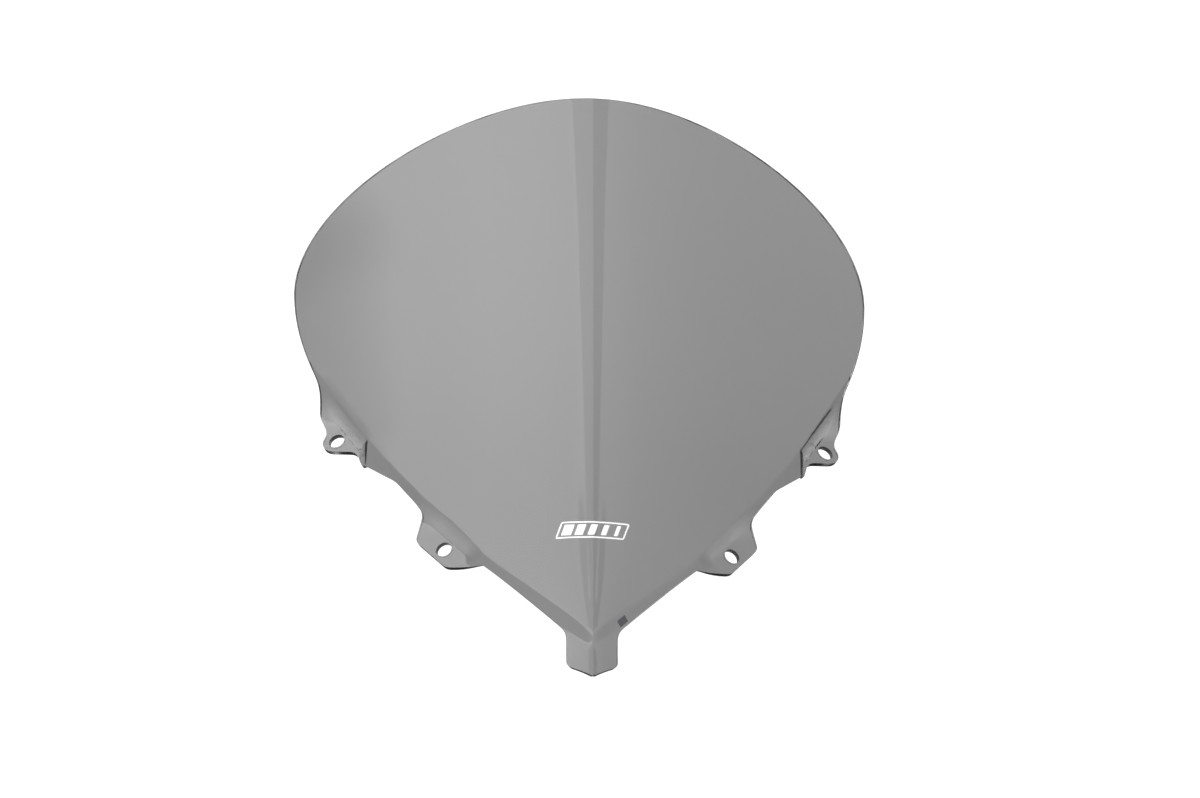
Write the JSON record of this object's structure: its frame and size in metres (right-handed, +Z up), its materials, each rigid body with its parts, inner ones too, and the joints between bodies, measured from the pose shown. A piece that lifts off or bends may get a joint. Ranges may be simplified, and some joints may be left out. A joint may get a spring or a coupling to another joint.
{
  "type": "motorcycle windscreen",
  "caption": "Smoked acrylic sport windscreen with a stepped flange, a nose tab, fixing tabs with open holes and a vinyl mark.",
  "frame": {"origin": "on the centre plane, midway between the fixing holes", "axes": "+Z up as mounted, -Y forward past the nose tab, +Y back to the rider, +X to the side"},
  "size_m": [0.353, 0.3329, 0.2198],
  "materials": {
    "smoked_acrylic": "polished",
    "white_vinyl": "satin",
    "grey_film": "satin"
  },
  "bodies": {
    "root": {"windscreen_sheet": "smoked_acrylic", "mark_frame": "white_vinyl", "mark_bar_1": "white_vinyl", "mark_bar_2": "white_vinyl", "mark_bar_3": "white_vinyl", "mark_bar_4": "white_vinyl", "mark_bar_5": "white_vinyl", "approval_label": "grey_film"}
  },
  "joints": []
}
